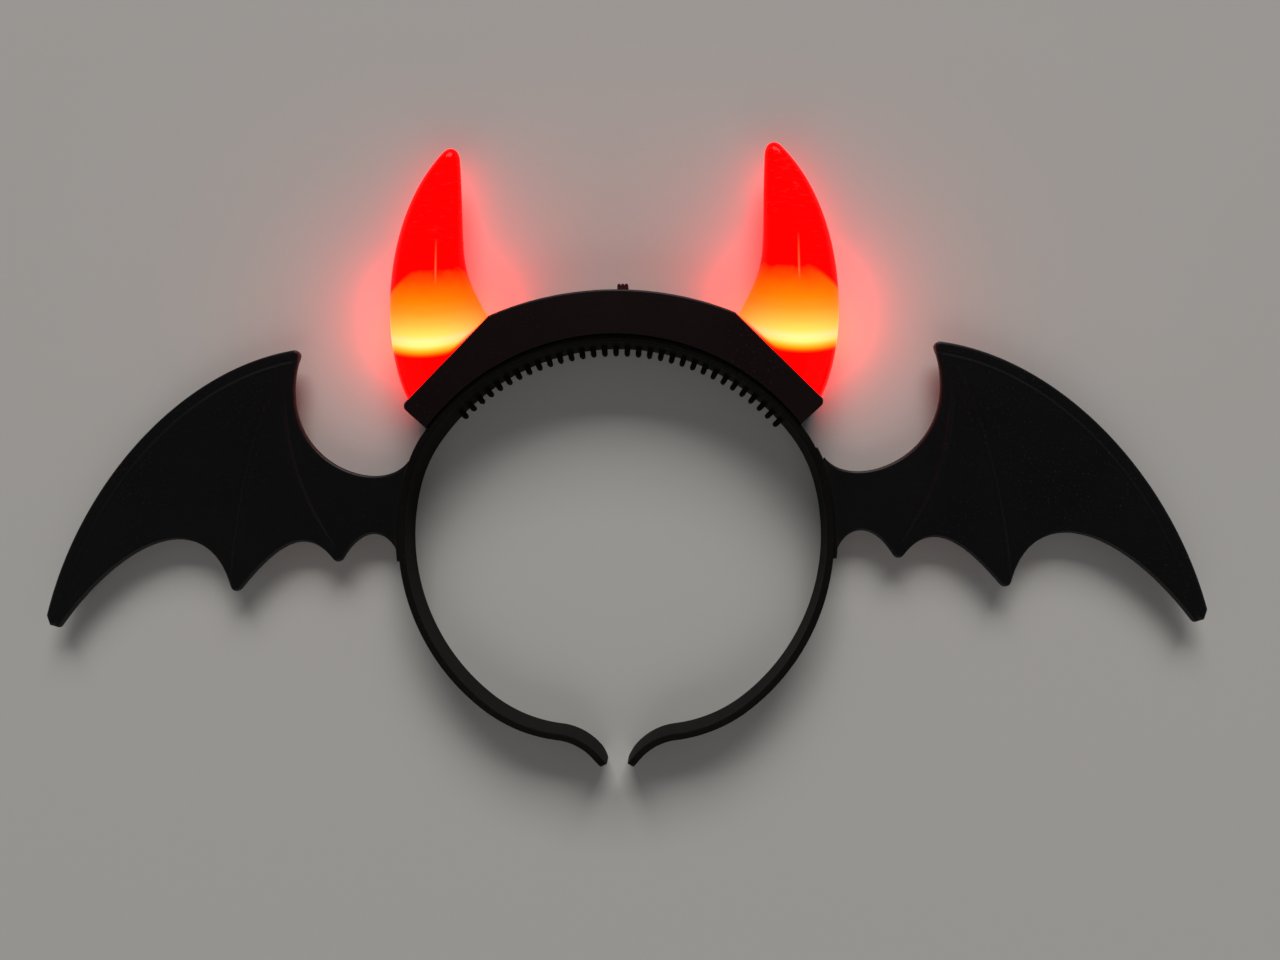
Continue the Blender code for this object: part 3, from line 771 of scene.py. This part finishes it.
def lit_plastic():
    """Clear red plastic lit from inside: red, with the lamp's bright zone above the flank and a
    painted highlight streak down the front.
    """
    made, tree, shader = new_material("lit red plastic")
    where = tree.nodes.new("ShaderNodeTexCoord").outputs["Object"]
    spot = place(tree, "ShaderNodeSeparateXYZ", {0: where}).outputs
    out = calculate(tree, "MULTIPLY", calculate(tree, "ABSOLUTE", spot[0]), 1 / MM)
    up = calculate(tree, "MULTIPLY_ADD", spot[1], 1 / MM, -RING_CENTRE_Y)
    wander = place(tree, "ShaderNodeTexNoise", {
        "Vector": where, "Scale": 260.0, "Detail": 2.0}).outputs[0]
    ragged = calculate(tree, "SUBTRACT", wander, 0.5)

    def between(value, low, high, kind="LINEAR"):
        return place(tree, "ShaderNodeMapRange", {
            "Value": value, "From Min": low, "From Max": high}, interpolation_type=kind).outputs[0]

    def past_line(point, toward, soft):
        """How far inside a slanting edge of the zone, from 0 to 1."""
        toward = Vector(toward).normalized()
        x = calculate(tree, "MULTIPLY", calculate(tree, "SUBTRACT", out, point[0]), toward.x)
        y = calculate(tree, "MULTIPLY", calculate(tree, "SUBTRACT", up, point[1]), toward.y)
        inside = calculate(tree, "DIVIDE", calculate(tree, "ADD", x, y), soft)
        return between(inside, 0.0, 1.0, "SMOOTHSTEP")

    from_middle = calculate(tree, "SUBTRACT", out, LIT_MIDDLE_X)
    square = calculate(tree, "POWER", from_middle, 2.0)
    rise = calculate(tree, "SUBTRACT", up, LIT_LOW_Y)
    rise = calculate(tree, "MULTIPLY_ADD", square, -LIT_BOW, rise)
    share = calculate(tree, "DIVIDE", rise, LIT_HEIGHT)
    ragged = calculate(tree, "MULTIPLY", ragged, calculate(tree, "POWER", share, 3.0))
    ramp = place(tree, "ShaderNodeValToRGB", {
        0: calculate(tree, "MULTIPLY_ADD", ragged, LIT_RAGGED, share)})
    elements = ramp.color_ramp.elements
    while len(elements) < len(LIT_STOPS):
        elements.new(0.5)
    for element, (position, green, blue) in zip(elements, LIT_STOPS):
        element.position = position
        red = 1.0 if 0 < position < 1 else HORN_REST_GLOW
        element.color = (red, green, blue, 1)
    beside_flank = past_line(flank()[0], LIT_FLANK_SIDE, 1.5)
    outer = past_line(LIT_OUTER_CORNER, LIT_OUTER_SIDE, 1.6)
    lit = calculate(tree, "MULTIPLY", beside_flank, outer)
    dimming = calculate(tree, "MULTIPLY_ADD", square, -LIT_SIDE_FADE, 1.0)
    lit = calculate(tree, "MULTIPLY", lit, dimming)
    # Painted highlight: a thin bright streak in the glow, only on the front of each horn.
    sideways = calculate(tree, "MULTIPLY_ADD", spot[0], 1 / MM, -STREAK_SHIFT)
    sideways = calculate(tree, "SUBTRACT", calculate(tree, "ABSOLUTE", sideways), STREAK_OUT)
    painted_highlight = between(calculate(tree, "ABSOLUTE", sideways), *STREAK_HALF_WIDTH, "SMOOTHSTEP")
    for low, high in STREAK_ENDS:
        painted_highlight = calculate(tree, "MULTIPLY", painted_highlight, between(up, low, high))
    painted_highlight = calculate(tree, "MULTIPLY", painted_highlight, between(spot[2], *STREAK_DEPTH))
    colour = place(tree, "ShaderNodeSeparateColor", {0: ramp.outputs[0]}).outputs
    green = calculate(tree, "MULTIPLY", colour[1], lit)
    green = calculate(tree, "MULTIPLY_ADD", painted_highlight, STREAK_GREEN, green)
    blue = calculate(tree, "MULTIPLY", colour[2], lit)
    blue = calculate(tree, "MULTIPLY_ADD", painted_highlight, STREAK_BLUE, blue)
    glow = place(tree, "ShaderNodeCombineColor", {
        0: colour[0],
        1: calculate(tree, "DIVIDE", green, HORN_GLOW),
        2: calculate(tree, "DIVIDE", blue, HORN_GLOW),
    }).outputs[0]
    tree.links.new(glow, shader.inputs["Emission Color"])
    shader.inputs["Emission Strength"].default_value = HORN_GLOW
    shader.inputs["Specular IOR Level"].default_value = 0.07
    surface = place(tree, "ShaderNodeGroup", node_tree=MOULDED_SURFACE)
    surface.inputs["Grain Height"].default_value = 0.1
    tree.links.new(mixed(tree, surface.outputs["Rubbed"], HORN_RED, HORN_RUBBED_RED),
                   shader.inputs["Base Color"])
    rough = calculate(tree, "MULTIPLY_ADD", surface.outputs["Cloud"], 0.10, 0.07)
    tree.links.new(calculate(tree, "MULTIPLY_ADD", surface.outputs["Rubbed"], 0.2, rough),
                   shader.inputs["Roughness"])
    bump = place(tree, "ShaderNodeBump", {
        "Height": surface.outputs["Height"], "Distance": 0.00005, "Strength": 0.4})
    tree.links.new(bump.outputs[0], shader.inputs["Normal"])
    return made


HORN_PLASTIC = lit_plastic()

for hand, side in (("left", -1), ("right", 1)):
    horn_bm = bmesh.new()
    sections = horn_sections()
    rings = loft(horn_bm, [horn_ring(section, side) for section in sections], close_end=False)
    tip_vert = horn_bm.verts.new(
        on_headband(side * HORN_APEX[0], HORN_APEX[1], HOUSING_DEPTH / 2))
    for i in range(HORN_SIDES):
        horn_bm.faces.new((rings[-1][i], rings[-1][(i + 1) % HORN_SIDES], tip_vert))
    horn = object_from(horn_bm, f"lit_horn_{hand}", HORN_PLASTIC)
    horn.data.shade_smooth()
    horn.data.set_sharp_from_angle(angle=math.radians(60))
    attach(horn, "headband")
    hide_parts(f"horn_{hand}")

# Wings: two thin black bat wings, each a moulded plate with a thick leading rim and two ridge
# ribs, on a curved flange that is fixed along the outside of the band.

WING_CORNERS = {
    "root_high": (61.7, 26.2),
    "claw": (93.3, 60.0),
    "tip": (171.5, -19.0),
    "tip_low": (170.5, -22.0),
    "tip_under": (167.9, -22.9),
    "finger": (114.8, -14.5),
    "tooth": (82.8, -5.3),
    "root_low": (65.0, -1.2),
}
WING_EDGES = (
    ("root_high", (70.2, 14.6), (105.0, 27.3), "claw"),
    ("claw", (128.4, 56.1), (161.2, 21.4), "tip"),
    ("tip", (171.2, -20.1), (170.8, -21.1), "tip_low"),
    ("tip_low", (169.7, -22.3), (168.8, -22.6), "tip_under"),
    ("tip_under", (146.0, 7.2), (119.5, 13.5), "finger"),
    ("finger", (103.2, 0.3), (92.0, 10.1), "tooth"),
    ("tooth", (77.1, 7.1), (68.4, 7.1), "root_low"),
)
CORNER_RADII = {"claw": 1.5, "tip": 1.0, "tip_low": 0.6, "tip_under": 0.8, "finger": 1.8,
                "tooth": 1.8}
WING_MIDDLE_Z = 6.3
PLATE_HALF = 1.1
PLATE_EDGE = 0.75
RISE = 0.45
RIM_FLAT = 2.8
RIM_FOOT = 4.2
RIB_GROOVE = 0.12
GROOVE_REACH, GROOVE_SPREAD = 1.2, 0.22
FLANGE_FILLET = (0.5, 1.2)
RIB_LINES = (
    ((98.4, 55.2), (107.5, 39.0), (113.2, 12.0), (114.7, -9.0), 2.2, 1.6),
    ((98.5, 48.0), (100.0, 33.0), (93.5, 14.0), (84.0, 0.5), 1.8, 1.4),
)
FLANGE_HIGH_Y = 29.0
FLANGE_LOW_Y = -3.4
FLANGE_THICKNESS = 1.2
FLANGE_BACK_Z = 2.6
FLANGE_FRONT_Z = 9.8
OUTLINE_STEP = 0.7
EDGE_DEPTHS = (0.07, 0.22, 0.45, 0.75, 1.1)
RIM_OFFSETS = (2.7, 3.0, 3.3, 3.6, 3.9, 4.15, 4.4, 4.8)
RIB_OFFSETS = (-1.6, -1.35, -1.18, -1.0, -0.8, -0.45, 0, 0.45, 0.8, 1.0, 1.18, 1.35, 1.6)
GRID_STEP = 1.4


def curve_points(start, first, second, end, step):
    """Points of a curve at about equal steps."""
    ends = [Vector(p).to_3d() for p in (start, first, second, end)]
    fine = [p.to_2d() for p in interpolate_bezier(*ends, 400)]
    lengths = [0.0]
    for before, after in zip(fine, fine[1:]):
        lengths.append(lengths[-1] + (after - before).length)
    count = max(2, round(lengths[-1] / step))
    points, i = [], 0
    for k in range(count + 1):
        while i < len(fine) - 2 and lengths[i + 1] < lengths[-1] * k / count:
            i += 1
        share = (lengths[-1] * k / count - lengths[i]) / (lengths[i + 1] - lengths[i])
        points.append(fine[i].lerp(fine[i + 1], share))
    return points


def wing_outline():
    """The plate's outline with rounded claw, fingers and tip, ending along the flange."""
    edges = {start: curve_points(WING_CORNERS[start], first, second, WING_CORNERS[end],
                                 OUTLINE_STEP)
             for start, first, second, end in WING_EDGES}
    names = [edge[0] for edge in WING_EDGES]
    outline = []
    for i, name in enumerate(names):
        edge = edges[name]
        if name in CORNER_RADII:
            corner = Vector(WING_CORNERS[name])
            radius = CORNER_RADII[name]
            before = edges[names[i - 1]][::-1]
            reach = max(2, round(radius * 2.2))
            rounding = fillet(before[reach], corner, edge[reach], radius)
            trim = (rounding[0] - corner).length
            while outline and (outline[-1] - corner).length < trim + 0.25:
                outline.pop()
            outline += rounding
            edge = [p for p in edge[1:] if (p - corner).length > trim + 0.25]
        outline += edge[:-1]
    low, high = Vector(WING_CORNERS["root_low"]), Vector(WING_CORNERS["root_high"])
    root = flange_line(GAP + FLANGE_THICKNESS / 2)
    return outline + [low] + [p for p in reversed(root) if low.y + 1 < p.y < high.y - 1]


def flange_line(off):
    """Points beside the band's outer surface, from the flange's high end to its low end."""
    shoulder, _, side_angle = shoulder_fit()
    out = BAND_THICKNESS + off
    high = math.degrees(math.asin((FLANGE_HIGH_Y - shoulder.y) / (SHOULDER_RADIUS + out)))
    low = math.degrees(math.asin((FLANGE_LOW_Y - SIDE_CENTRE_Y) / (SIDE_RADIUS + out)))
    upper = arc_points(shoulder, SHOULDER_RADIUS + out, high, side_angle, 12)
    lower = arc_points((0, SIDE_CENTRE_Y), SIDE_RADIUS + out, side_angle, low, 30)
    return upper[:-1] + lower


def finder(points):
    """Looks up the nearest of some points: index and distance."""
    tree = KDTree(len(points))
    for i, point in enumerate(points):
        tree.insert(point.to_3d(), i)
    tree.balance()

    def nearest(point):
        _, index, distance = tree.find(point.to_3d())
        return index, distance
    return nearest


def dense(points, step=0.1):
    """Fills a line with points so that the nearest one gives the distance to the line."""
    filled = []
    for a, b in zip(points, points[1:]):
        count = max(1, math.ceil((b - a).length / step))
        filled += [a.lerp(b, i / count) for i in range(count)]
    return filled + [points[-1]]


def normals_of(points, closed):
    """The left-hand normal at each point of a line."""
    result = []
    for i in range(len(points)):
        after = points[(i + 1) % len(points)] if closed else points[min(i + 1, len(points) - 1)]
        before = points[i - 1] if closed else points[max(i - 1, 0)]
        run = (after - before).normalized()
        result.append(Vector((-run.y, run.x)))
    return result


WING_OUTLINE = anticlockwise(wing_outline())
LEADING_EDGE = curve_points(WING_CORNERS["claw"], *WING_EDGES[1][1:3], WING_CORNERS["tip"],
                            OUTLINE_STEP)
RIBS = [(curve_points(*rib[:4], 0.8), rib[4] / 2, rib[5] / 2) for rib in RIB_LINES]
near_outline = finder(dense(WING_OUTLINE + WING_OUTLINE[:1], 0.05))
near_leading = finder(dense(LEADING_EDGE, 0.1))
near_flange = finder(dense(flange_line(GAP + FLANGE_THICKNESS), 0.1))
RIB_FINE = [dense(line, 0.1) for line, _, _ in RIBS]
near_ribs = [finder(line) for line in RIB_FINE]


def wing_half_height(point):
    """Half the wing's thickness at a point: plate, rim, ribs and rounded edge."""
    _, from_edge = near_outline(point)
    _, from_leading = near_leading(point)
    rise = RISE * (1 - smooth_step(RIM_FLAT, RIM_FOOT, from_leading))
    groove = 0.0
    for fine, nearest, (_, wide, narrow) in zip(RIB_FINE, near_ribs, RIBS):
        index, distance = nearest(point)
        share = index / (len(fine) - 1)
        reach = distance / (wide + (narrow - wide) * share)
        fading = smooth_step(0.0, 0.22, share) * (1 - smooth_step(0.75, 1.0, share) * 0.8)
        rise = max(rise, RISE * fading * max(0.0, 1 - reach * reach) ** 0.8)
        if from_leading > RIM_FLAT and reach > 0.8:
            beside = (reach - GROOVE_REACH) / GROOVE_SPREAD
            groove = max(groove, RIB_GROOVE * fading * math.exp(-beside * beside))
    _, from_flange = near_flange(point)
    fillet_rise, fillet_reach = FLANGE_FILLET
    rise = max(rise, fillet_rise * max(0.0, 1 - from_flange / fillet_reach) ** 2)
    half = PLATE_HALF + rise - groove * smooth_step(0.5, 1.5, from_edge)
    inside = min(from_edge, PLATE_EDGE) if from_edge > 0.03 else 0.0
    return half - PLATE_EDGE + math.sqrt(PLATE_EDGE**2 - (PLATE_EDGE - inside) ** 2)


def wing_points():
    """Points inside the outline: along its rounded edge, the rim's foot, the ribs and between."""
    points = []
    normals = normals_of(WING_OUTLINE, True)
    for depth in EDGE_DEPTHS:
        for point, normal in zip(WING_OUTLINE, normals):
            spot = point + normal * depth
            if near_outline(spot)[1] > depth * 0.93:
                points.append(spot)
    features = []
    for point, normal in zip(LEADING_EDGE, normals_of(LEADING_EDGE, False)):
        features += [point - normal * off for off in RIM_OFFSETS]
    for line, wide, narrow in RIBS:
        for i, (point, normal) in enumerate(zip(line, normals_of(line, False))):
            half = wide + (narrow - wide) * i / (len(line) - 1)
            features += [point + normal * half * k for k in RIB_OFFSETS]
    inside = inside_test(WING_OUTLINE)
    kept = [p for p in features if near_outline(p)[1] > 1.25 and inside(p)]
    taken = finder(points + kept)
    grid = []
    for row in range(-30, 75):
        for column in range(35, 130):
            spot = Vector(((column + 0.5 * (row % 2)) * GRID_STEP, row * GRID_STEP * 0.866))
            if near_outline(spot)[1] > 1.4 and inside(spot) and taken(spot)[1] > 0.75:
                grid.append(spot)
    return points + kept + grid


def inside_test(outline):
    edges = list(zip(outline, outline[1:] + outline[:1]))

    def inside(point):
        odd = False
        for a, b in edges:
            if (a.y > point.y) != (b.y > point.y):
                if point.x < a.x + (point.y - a.y) / (b.y - a.y) * (b.x - a.x):
                    odd = not odd
        return odd
    return inside


def wing_triangles():
    """The wing's front seen flat: points, triangles and which points are on the outline."""
    count = len(WING_OUTLINE)
    points, _, faces, origins, _, _ = delaunay_2d_cdt(
        WING_OUTLINE + wing_points(), [(i, (i + 1) % count) for i in range(count)], [], 1, 1e-5)
    order = {}
    for index, sources in enumerate(origins):
        for source in sources:
            if source < count:
                order[source] = index
    return points, faces, [order[i] for i in range(count)]


WING_PLASTIC = moulded_plastic(
    "black wing plastic", (0.0038, 0.0032, 0.0035), (0.011, 0.010, 0.010), roughness=0.37,
    grain=0.8, rubbing=0.5, gloss=0.24)
FLAT_WING = wing_triangles()
WING_HEIGHTS = [wing_half_height(point) for point in FLAT_WING[0]]

for hand, side in (("left", -1), ("right", 1)):
    wing_bm = bmesh.new()
    points, faces, border = FLAT_WING
    fronts, backs = [], []
    for point, half in zip(points, WING_HEIGHTS):
        fronts.append(wing_bm.verts.new(on_headband(side * point.x, point.y, WING_MIDDLE_Z + half)))
        backs.append(wing_bm.verts.new(on_headband(side * point.x, point.y, WING_MIDDLE_Z - half)))
    for face in faces:
        wing_bm.faces.new([fronts[i] for i in face])
        wing_bm.faces.new([backs[i] for i in reversed(face)])
    for a, b in zip(border, border[1:] + border[:1]):
        wing_bm.faces.new((fronts[a], backs[a], backs[b], fronts[b]))
    strip = flange_line(GAP) + flange_line(GAP + FLANGE_THICKNESS)[::-1]
    rounded_slab(wing_bm, [(side * p.x, p.y) for p in strip], FLANGE_BACK_Z, FLANGE_FRONT_Z,
                 0.35, steps=4)
    wing = object_from(wing_bm, f"bat_wing_{hand}", WING_PLASTIC)
    smoothed(wing, 50)
    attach(wing, "headband")
    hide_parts(f"wing_{hand}")

# Floor, light and camera: a plain pale floor under the flat back, soft lights from the sides
# and above, and a camera that looks straight down at the front from the photograph's place.

FLOOR_SIZE = 3.0
FLOOR_COLOUR = (0.62, 0.605, 0.585, 1)
WARM, COOL = (1.0, 0.98, 0.95), (0.97, 0.98, 1.0)
LIGHTS = (
    ("key above the horns", (0.35, 6.6, 3.9), (0, 0, 0), (5.5, 3.2), 440.0, WARM),
    ("fill below the ring", (-0.2, -3.6, 2.6), (0, -0.1, 0), (5.0, 3.0), 36.0, WARM),
    ("left side", (-1.60, -0.2, 0.70), (0, 0, 0), (0.9, 1.8), 0.7, COOL),
    ("right side", (1.60, -0.2, 0.70), (0, 0, 0), (0.9, 1.8), 0.9, COOL),
)
STUDIO_COLOUR, STUDIO_LIGHT = (0.90, 0.95, 1.0, 1), 0.056
BACKDROP_COLOUR = (0.30, 0.295, 0.285, 1)
CAMERA_LENS = 27.03
CAMERA_PLACE = (0.0162, -0.00675, 0.2907)
CAMERA_YAW, CAMERA_PITCH, CAMERA_ROLL = -1.78, 0.04, 0.54


def add_floor():
    half = FLOOR_SIZE / 2
    mesh = bpy.data.meshes.new("floor")
    mesh.from_pydata([(-half, -half, 0), (half, -half, 0), (half, half, 0), (-half, half, 0)],
                     [], [(0, 1, 2, 3)])
    made, _, shader = new_material("pale floor")
    shader.inputs["Base Color"].default_value = FLOOR_COLOUR
    shader.inputs["Roughness"].default_value = 0.75
    shader.inputs["Specular IOR Level"].default_value = 0.2
    return mesh_object("floor", mesh, made)


def add_light(name, position, target, size, power, colour):
    data = bpy.data.lights.new(name, "AREA")
    data.shape = "RECTANGLE"
    data.size, data.size_y = size
    data.energy = power
    data.color = colour
    lamp = bpy.data.objects.new(name, data)
    lamp.location = position
    aim = (Vector(target) - Vector(position)).normalized()
    lamp.rotation_euler = aim.to_track_quat("-Z", "Y").to_euler()
    lamp.visible_camera = False
    bpy.context.collection.objects.link(lamp)


def add_world():
    """A dim studio for the light, which the camera sees as a plain pale backdrop."""
    world = bpy.data.worlds.new("studio")
    world.use_nodes = True
    tree = world.node_tree
    dim = tree.nodes["Background"]
    dim.inputs[0].default_value = STUDIO_COLOUR
    dim.inputs[1].default_value = STUDIO_LIGHT
    pale = place(tree, "ShaderNodeBackground", {0: BACKDROP_COLOUR, 1: 1.0})
    seen = tree.nodes.new("ShaderNodeLightPath").outputs["Is Camera Ray"]
    mix = place(tree, "ShaderNodeMixShader", {0: seen})
    tree.links.new(dim.outputs[0], mix.inputs[1])
    tree.links.new(pale.outputs[0], mix.inputs[2])
    tree.links.new(mix.outputs[0], tree.nodes["World Output"].inputs[0])
    bpy.context.scene.world = world


def add_camera():
    data = bpy.data.cameras.new("camera")
    data.lens = CAMERA_LENS
    data.sensor_width = 36.0
    data.clip_start = 0.01
    camera = bpy.data.objects.new("camera", data)
    turn = (Matrix.Rotation(math.radians(CAMERA_ROLL), 3, "Z")
            @ Matrix.Rotation(math.radians(CAMERA_PITCH), 3, "X")
            @ Matrix.Rotation(math.radians(CAMERA_YAW), 3, "Y"))
    camera.matrix_world = Matrix.Translation(CAMERA_PLACE) @ turn.transposed().to_4x4()
    bpy.context.collection.objects.link(camera)
    bpy.context.scene.camera = camera


add_floor()
for light in LIGHTS:
    add_light(*light)
add_world()
add_camera()
bpy.context.scene.view_settings.view_transform = "Standard"
